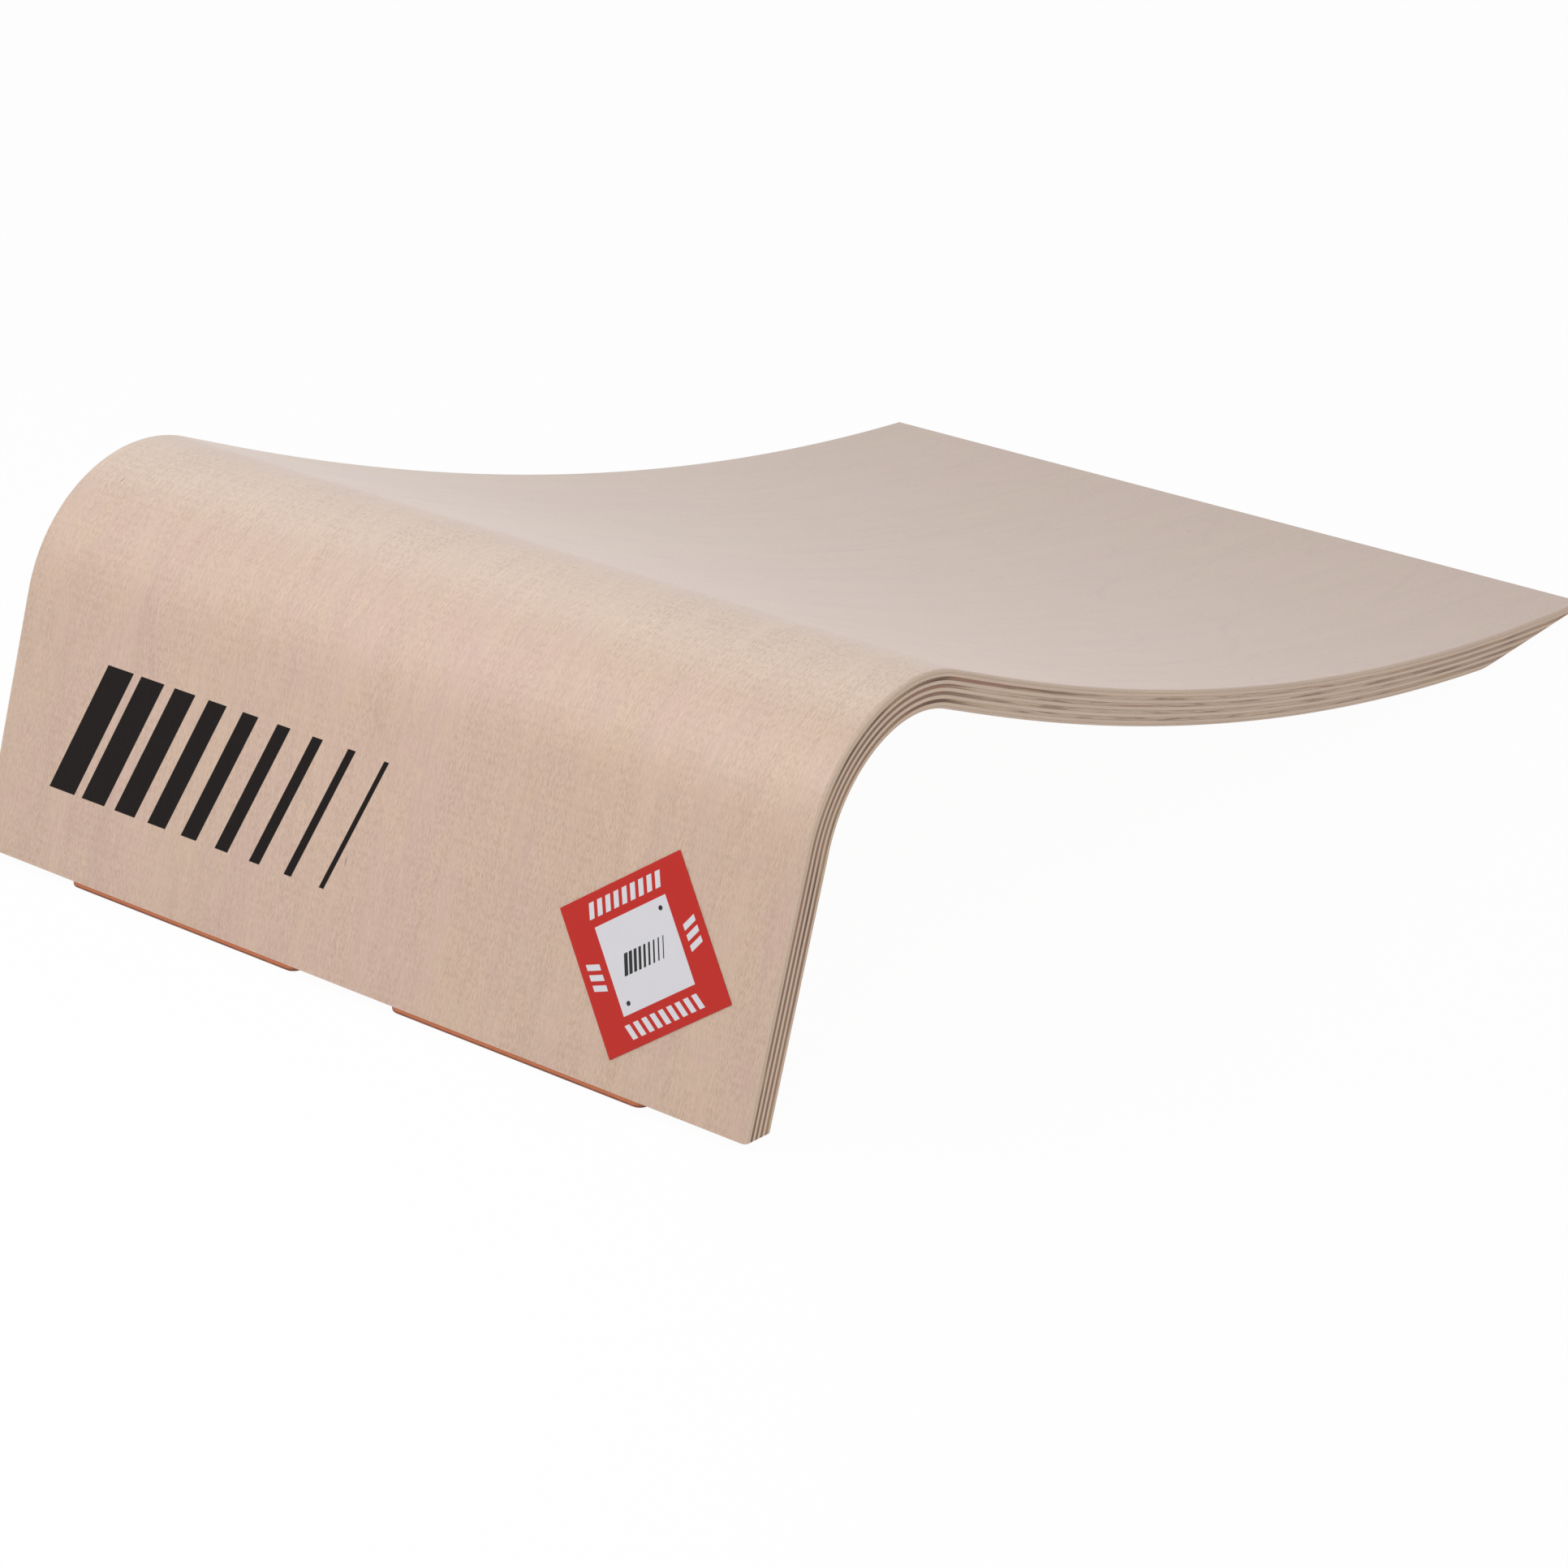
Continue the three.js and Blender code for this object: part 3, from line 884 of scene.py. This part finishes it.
def orange_rubber(strips):
    """Moulded rubber: matt, faintly mottled, with fine pits. Painted shade in mottled patches
    darkens the sole's rounded edge, a band just under the groove's edge and the round ends."""
    finish = new_finish("orange_rubber")
    place = finish.place()
    mottle = finish.noise(finish.scale(place, 1 / (7 * MM)))
    pits = finish.noise(finish.scale(place, 1 / (0.5 * MM)), 2.0, 0.6)
    colour = finish.scale(strips.colour, 0.88 + mottle * 0.16 + pits * 0.08)
    height = finish.split(place)[2]
    # Painted shade: darker rubber at the sole's rounded edge, which turns away from the light
    sole_shade = finish.ease(height, 1.7 * MM, 1.0 * MM)
    # Painted shadow of the wood's edge on the rubber just below the groove
    groove_shadow = finish.ease(height, 2.65 * MM, 3.1 * MM)
    # Painted shade on the round ends, which face away from the light
    end_shade = finish.ease(abs(finish.facing()[1]), 0.30, 0.75, 0.0, 0.7)
    painted_shade = sole_shade.math("MAXIMUM", groove_shadow.math("MAXIMUM", end_shade))
    # The painted shade is broken up by the mottle and pits into patches
    shade_patches = painted_shade * finish.ease(mottle + pits, 0.75, 1.1, 0.7, 0.95)
    return finish.principled(
        Base_Color=finish.mix(shade_patches, colour, strips.painted_shade_colour),
        Roughness=0.52 + (pits - 0.5) * 0.20,
        Normal=finish.bump(pits, 0.5, 0.05 * MM),
    )


def label_vinyl(label):
    """Printed vinyl: a red border with rows of slanted dashes, and a pale panel with a small
    row of fading stripes and a dot in two of its corners."""
    finish = new_finish("label_vinyl")
    u, v, _ = finish.split(finish.node("ShaderNodeUVMap", {"uv_map": "label"}))
    u = (u - 0.5) * label.size
    v = (v - 0.5) * label.size
    soft = 0.08 * MM
    pitch, half_dash, half_row, lean = 4.1 * MM, 1.2 * MM, 3.0 * MM, math.radians(18)
    row = (label.size + label.panel) / 4
    dot_place, dot_radius = 13.6 * MM, 0.95 * MM

    def within(value, limit):
        """Mask of the values below a limit, with a soft border."""
        return finish.ease(value, limit + soft, limit - soft)

    def dashes(run, rise, half_run):
        """Row of slanted dashes along the run, as long as twice its half."""
        sheared = run - rise * math.tan(lean)
        middle = (sheared / pitch).math("ROUND") * pitch
        dash = within(abs(sheared - middle), half_dash)
        return dash * within(abs(middle), half_run) * within(abs(rise), half_row)

    ends = dashes(u, abs(v) - row, 17.5 * MM)
    sides = dashes(v, abs(u) - row, 5.0 * MM)
    small = (9, 2.3 * MM, 0.5 * MM, 1.8 * MM, 8 * MM, math.radians(20))
    stripes = fading_stripes(finish, 9.0 * MM - u, v + 4.0 * MM, small, soft)
    off_u = abs(abs(u) - dot_place)
    off_v = abs(abs(v) - dot_place)
    off_dot = (off_u * off_u + off_v * off_v).math("SQRT")
    dots = within(off_dot, dot_radius) * (abs(u + v) * 0.5 > 9 * MM)
    panel = within(abs(u).math("MAXIMUM", abs(v)), label.panel / 2)
    colour = finish.mix(ends.math("MAXIMUM", sides), label.border, label.pale)
    colour = finish.mix(panel, colour, label.pale)
    colour = finish.mix(stripes.math("MAXIMUM", dots) * panel, colour, label.ink)
    waves = finish.noise(finish.vector(u / (9 * MM), v / (9 * MM), 0.0), 1.5)
    return finish.principled(
        Base_Color=finish.scale(colour, 0.98 + waves * 0.04), Roughness=0.34 + waves * 0.08,
        Normal=finish.bump(waves, 0.25, 0.10 * MM), IOR=1.42,
    )


def pale_floor(stage):
    """Pale matt floor that keeps the ramp's shadow. For camera and glossy rays a share of it
    glows plain white, so it meets the white surroundings."""
    finish = new_finish("pale_floor")
    camera, glossy, through = (
        finish.node("ShaderNodeLightPath", output=name)
        for name in ("Is Camera Ray", "Is Glossy Ray", "Is Transmission Ray")
    )
    seen = camera.math("MAXIMUM", glossy.math("MAXIMUM", through))
    matt = finish.node("ShaderNodeBsdfDiffuse", None, {"Color": stage.floor})
    white = finish.node("ShaderNodeEmission", None, {"Color": (1, 1, 1), "Strength": 1.0})
    surface = finish.node("ShaderNodeMixShader", None, (seen * stage.floor_glow, matt, white))
    finish.node("ShaderNodeOutputMaterial", None, {"Surface": surface})
    return finish.owner


def surroundings(stage):
    """World that is pale for camera rays, white for glossy and transmitted ones and an even
    soft light for all others."""
    finish = Finish(bpy.data.worlds.new("surroundings"))
    strength = stage.sky
    levels = {"Is Glossy Ray": 1.0, "Is Transmission Ray": 1.0, "Is Camera Ray": stage.backdrop}
    for name, level in levels.items():
        ray = finish.node("ShaderNodeLightPath", output=name)
        strength = finish.choose(ray, strength, level)
    light = finish.node("ShaderNodeBackground", None, {"Color": (1, 1, 1), "Strength": strength})
    finish.node("ShaderNodeOutputWorld", None, {"Surface": light})
    return finish.owner


# Operators

class RAMP_OT_face_veneers(bpy.types.Operator):
    """Makes the face and backing veneers of both sides, with rounded arrises and the print"""

    bl_idname = "ramp.face_veneers"
    bl_label = "Face Veneers"

    def execute(self, context):
        scene = context.scene
        bend = Bend(scene.ramp_sheet)
        row = scene.ramp_print
        stripes = {
            "foot_margin": row.foot_margin,
            "start": row.start,
            "sizes": (row.stripes, row.pitch, row.thinnest, row.widest, row.height, row.slant),
        }
        riding = face_beech(bend, scene.ramp_beech, stripes)
        under = face_beech(bend, scene.ramp_beech)
        for layer in FACE_PLIES:
            node = LAYUP[layer][0]
            top = layer * bend.pitch
            points, faces = veneer_mesh(bend, top, top + bend.ply)
            material = riding if layer == 0 else under
            place_piece(node.replace("_veneer", ""), points, faces, material,
                        [node])
        return {"FINISHED"}


class RAMP_OT_inner_veneers(bpy.types.Operator):
    """Gives the seven inner veneers their sawn edges, and adds the films of glue"""

    bl_idname = "ramp.inner_veneers"
    bl_label = "Inner Veneers"

    def execute(self, context):
        scene = context.scene
        bend = Bend(scene.ramp_sheet)
        edges = {runs: inner_edge(bend, scene.ramp_beech, runs) for runs in ("long", "cross")}
        for layer, (node, runs) in enumerate(LAYUP):
            if layer not in FACE_PLIES:
                dress(node, edges[runs])
        front_low, front_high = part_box("front_grip_strip_right")
        rear_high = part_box("rear_grip_strip_right")[1]
        side = bend.half_width
        inner, outer = front_low.y - GROOVE_GAP, front_high.y + GROOVE_GAP

        def grooves(top, bottom, x, z):
            """Strips of a film across the ramp, with the first and last of its stations."""
            middle = bend.thickness / 2
            reach = (sole_high.x - sole_low.x) / 2 + GROOVE_GAP
            crossed = bottom > middle - reach and top < middle + reach
            first = int(np.argmax(z[:, 0] > rear_high.z + GROOVE_GAP)) if crossed else 0
            milled = (x[:, 0] > front_low.x - GROOVE_GAP) & (z[:, 3] < front_high.z + GROOVE_GAP)
            last = int(np.argmax(milled)) if milled.any() else len(x)
            whole = (0, len(x))
            held = (first, last)
            bands = ((-side, -outer, whole), (-outer, -inner, held), (-inner, inner, whole),
                     (inner, outer, held), (outer, side, whole))
            return [(low, high, *rows) for low, high, rows in bands]

        points, faces = film_mesh(bend, grooves)
        place_piece("glue_films", points, faces, glue_film(scene.ramp_beech),
                    sharp=math.radians(20))
        return {"FINISHED"}


class RAMP_OT_grip_strips(bpy.types.Operator):
    """Makes the four rubber strips, with a lip over the groove and a rounded sole"""

    bl_idname = "ramp.grip_strips"
    bl_label = "Grip Strips"

    def execute(self, context):
        scene = context.scene
        bend = Bend(scene.ramp_sheet)
        rubber = orange_rubber(scene.ramp_strips)
        middle = bend.thickness / 2
        lean_sin, lean_cos = math.sin(bend.lean), math.cos(bend.lean)
        width = sole_high.x - sole_low.x
        lip = scene.ramp_strips.lip
        edge_round = scene.ramp_strips.edge_round
        rear_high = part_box("rear_grip_strip_left")[1]
        rear_top = (rear_high.z - bend.foot[1] + (middle - width / 2) * lean_sin) / lean_cos
        close = 0.03 * MM

        def level_sole(x):
            """Height up the leg at which the sole meets the floor."""
            return ((middle + x) * lean_sin - bend.foot[1]) / lean_cos

        def foot_face(x):
            """Height up the leg at which the head meets the cut foot."""
            return (middle + x) * math.tan(bend.lean - bend.cut) - close

        def bevel_face(x):
            """Height at which the head meets the nose's underside."""
            return np.full_like(x, bend.bevel_z - close)

        for node in STRIPS:
            low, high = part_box(node)
            length = high.y - low.y
            if node.startswith("rear"):
                points, faces = strip_mesh(
                    length, width, lip, rear_top, foot_face, level_sole, edge_round,
                )
                x, z = bend.on_leg(points[..., 2], middle + points[..., 0])
            else:
                points, faces = strip_mesh(
                    length, width, lip, high.z, bevel_face, np.zeros_like, edge_round,
                )
                x = points[..., 0] + (low.x + high.x) / 2
                z = points[..., 2]
            placed = np.stack([x, points[..., 1] + (low.y + high.y) / 2, z], axis=-1)
            place_piece(node.replace("grip_strip", "strip"), placed, faces, rubber,
                        [node])
        return {"FINISHED"}


class RAMP_OT_label(bpy.types.Operator):
    """Makes the square label and sets it on the leg"""

    bl_idname = "ramp.square_label"
    bl_label = "Square Label"

    def execute(self, context):
        scene = context.scene
        label = scene.ramp_label
        bend = Bend(scene.ramp_sheet)
        points, faces = label_mesh(label.size, label.thickness, label.corner)
        low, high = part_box("square_label")
        middle_x, middle_y, middle_z = ((low[axis] + high[axis]) / 2 for axis in range(3))
        middle_up = (
            (middle_x - bend.foot[0]) * math.sin(bend.lean)
            + (middle_z - bend.foot[1]) * math.cos(bend.lean)
        )
        turn_sin, turn_cos = math.sin(label.turn), math.cos(label.turn)
        across = points[..., 0] * turn_cos - points[..., 1] * turn_sin
        rise = points[..., 0] * turn_sin + points[..., 1] * turn_cos
        x, z = bend.on_leg(middle_up + rise, -(points[..., 2] + LABEL_GLUE))
        placed = np.stack([x, middle_y - across, z], axis=-1)
        piece = place_piece("label", placed, faces, label_vinyl(label),
                            ["square_label"])
        layer = piece.data.uv_layers.new(name="label")
        corners = np.zeros(len(piece.data.loops), int)
        piece.data.loops.foreach_get("vertex_index", corners)
        flat = points.reshape(-1, 3)[corners, :2] / label.size + 0.5
        layer.data.foreach_set("uv", flat.astype(np.float32).ravel())
        return {"FINISHED"}


class RAMP_OT_stage(bpy.types.Operator):
    """Makes the floor, the surroundings, the lamps and the camera"""

    bl_idname = "ramp.stage"
    bl_label = "Stage"

    def execute(self, context):
        scene = context.scene
        stage = scene.ramp_stage
        scene.view_settings.view_transform = "Standard"
        scene.world = surroundings(stage)
        self.make_floor(scene, stage)
        for name, (kind, source, tint) in LAMPS.items():
            self.add_lamp(scene, stage, name, kind, Vector(source), tint)
        self.make_camera(scene, stage)
        return {"FINISHED"}

    def make_floor(self, scene, stage):
        """A square just under the plane of the soles."""
        x, y = np.meshgrid([-FLOOR_REACH, FLOOR_REACH], [-FLOOR_REACH, FLOOR_REACH])
        points = np.stack([x, y, np.full_like(x, -FLOOR_DROP)], axis=-1).reshape(-1, 3)
        mesh = bpy.data.meshes.new("floor")
        mesh.from_pydata(points.tolist(), [], [(0, 1, 3, 2)])
        mesh.materials.append(pale_floor(stage))
        floor = bpy.data.objects.new("floor", mesh)
        scene.collection.objects.link(floor)

    def add_lamp(self, scene, stage, name, kind, source, tint):
        """A broad distant lamp, or a near disk. At level 1, white that faces it would render
        as white: a sun needs pi for that, and a disk the square of pi times its distance."""
        data = bpy.data.lights.new(name, kind)
        data.color = tint
        lamp = bpy.data.objects.new(name, data)
        level = getattr(stage, name)
        if kind == "SUN":
            data.energy = math.pi * level
            data.angle = SUN_SPREAD
            towards = source
        else:
            towards = source - Vector(stage.aim)
            data.shape = "DISK"
            data.size = stage.lamp_size
            data.energy = (math.pi * towards.length) ** 2 * level
            lamp.location = source
            lamp.visible_camera = False
        lamp.rotation_euler = (-towards).to_track_quat("-Z", "Y").to_euler()
        scene.collection.objects.link(lamp)

    def make_camera(self, scene, stage):
        """Camera at its place, turned by azimuth and elevation, then rolled."""
        azimuth, elevation, roll = stage.azimuth, stage.elevation, stage.roll
        back = Vector((
            math.sin(azimuth) * math.cos(elevation),
            -math.cos(azimuth) * math.cos(elevation),
            math.sin(elevation),
        ))
        level = Vector((math.cos(azimuth), math.sin(azimuth), 0.0))
        upright = back.cross(level)
        right = level * math.cos(roll) + upright * math.sin(roll)
        above = upright * math.cos(roll) - level * math.sin(roll)
        data = bpy.data.cameras.new("camera")
        data.sensor_width = 36.0
        data.lens = stage.lens
        data.clip_start = 0.01
        data.clip_end = 100.0
        camera = bpy.data.objects.new("camera", data)
        turned = Matrix((right, above, back)).transposed()
        camera.matrix_world = Matrix.Translation(stage.camera_place) @ turned.to_4x4()
        scene.collection.objects.link(camera)
        scene.camera = camera


OPERATORS = (
    RAMP_OT_stage,
    RAMP_OT_face_veneers,
    RAMP_OT_inner_veneers,
    RAMP_OT_grip_strips,
    RAMP_OT_label,
)


class RAMP_PT_panel(bpy.types.Panel):
    """The ramp's steps and sizes in the sidebar."""

    bl_label = "Jump Ramp"
    bl_idname = "RAMP_PT_panel"
    bl_space_type = "VIEW_3D"
    bl_region_type = "UI"
    bl_category = "Jump Ramp"

    def draw(self, context):
        layout = self.layout
        for operator in OPERATORS:
            layout.operator(operator.bl_idname)
        for name, group in GROUPS.items():
            box = layout.box()
            box.label(text=group.__doc__.strip("."))
            for prop in group.__annotations__:
                box.prop(getattr(context.scene, name), prop)


def register():
    """Registers the classes and hangs the sizes on the scene."""
    for group in GROUPS.values():
        bpy.utils.register_class(group)
    for name, group in GROUPS.items():
        setattr(bpy.types.Scene, name, PointerProperty(type=group))
    for operator in OPERATORS:
        bpy.utils.register_class(operator)
    bpy.utils.register_class(RAMP_PT_panel)


def unregister():
    """Undoes register."""
    bpy.utils.unregister_class(RAMP_PT_panel)
    for operator in reversed(OPERATORS):
        bpy.utils.unregister_class(operator)
    for name, group in GROUPS.items():
        delattr(bpy.types.Scene, name)
        bpy.utils.unregister_class(group)


def main():
    """Makes the stage and every piece."""
    register()
    bpy.ops.ramp.stage()
    bpy.ops.ramp.face_veneers()
    bpy.ops.ramp.inner_veneers()
    bpy.ops.ramp.grip_strips()
    bpy.ops.ramp.square_label()


if __name__ == "__main__":
    main()
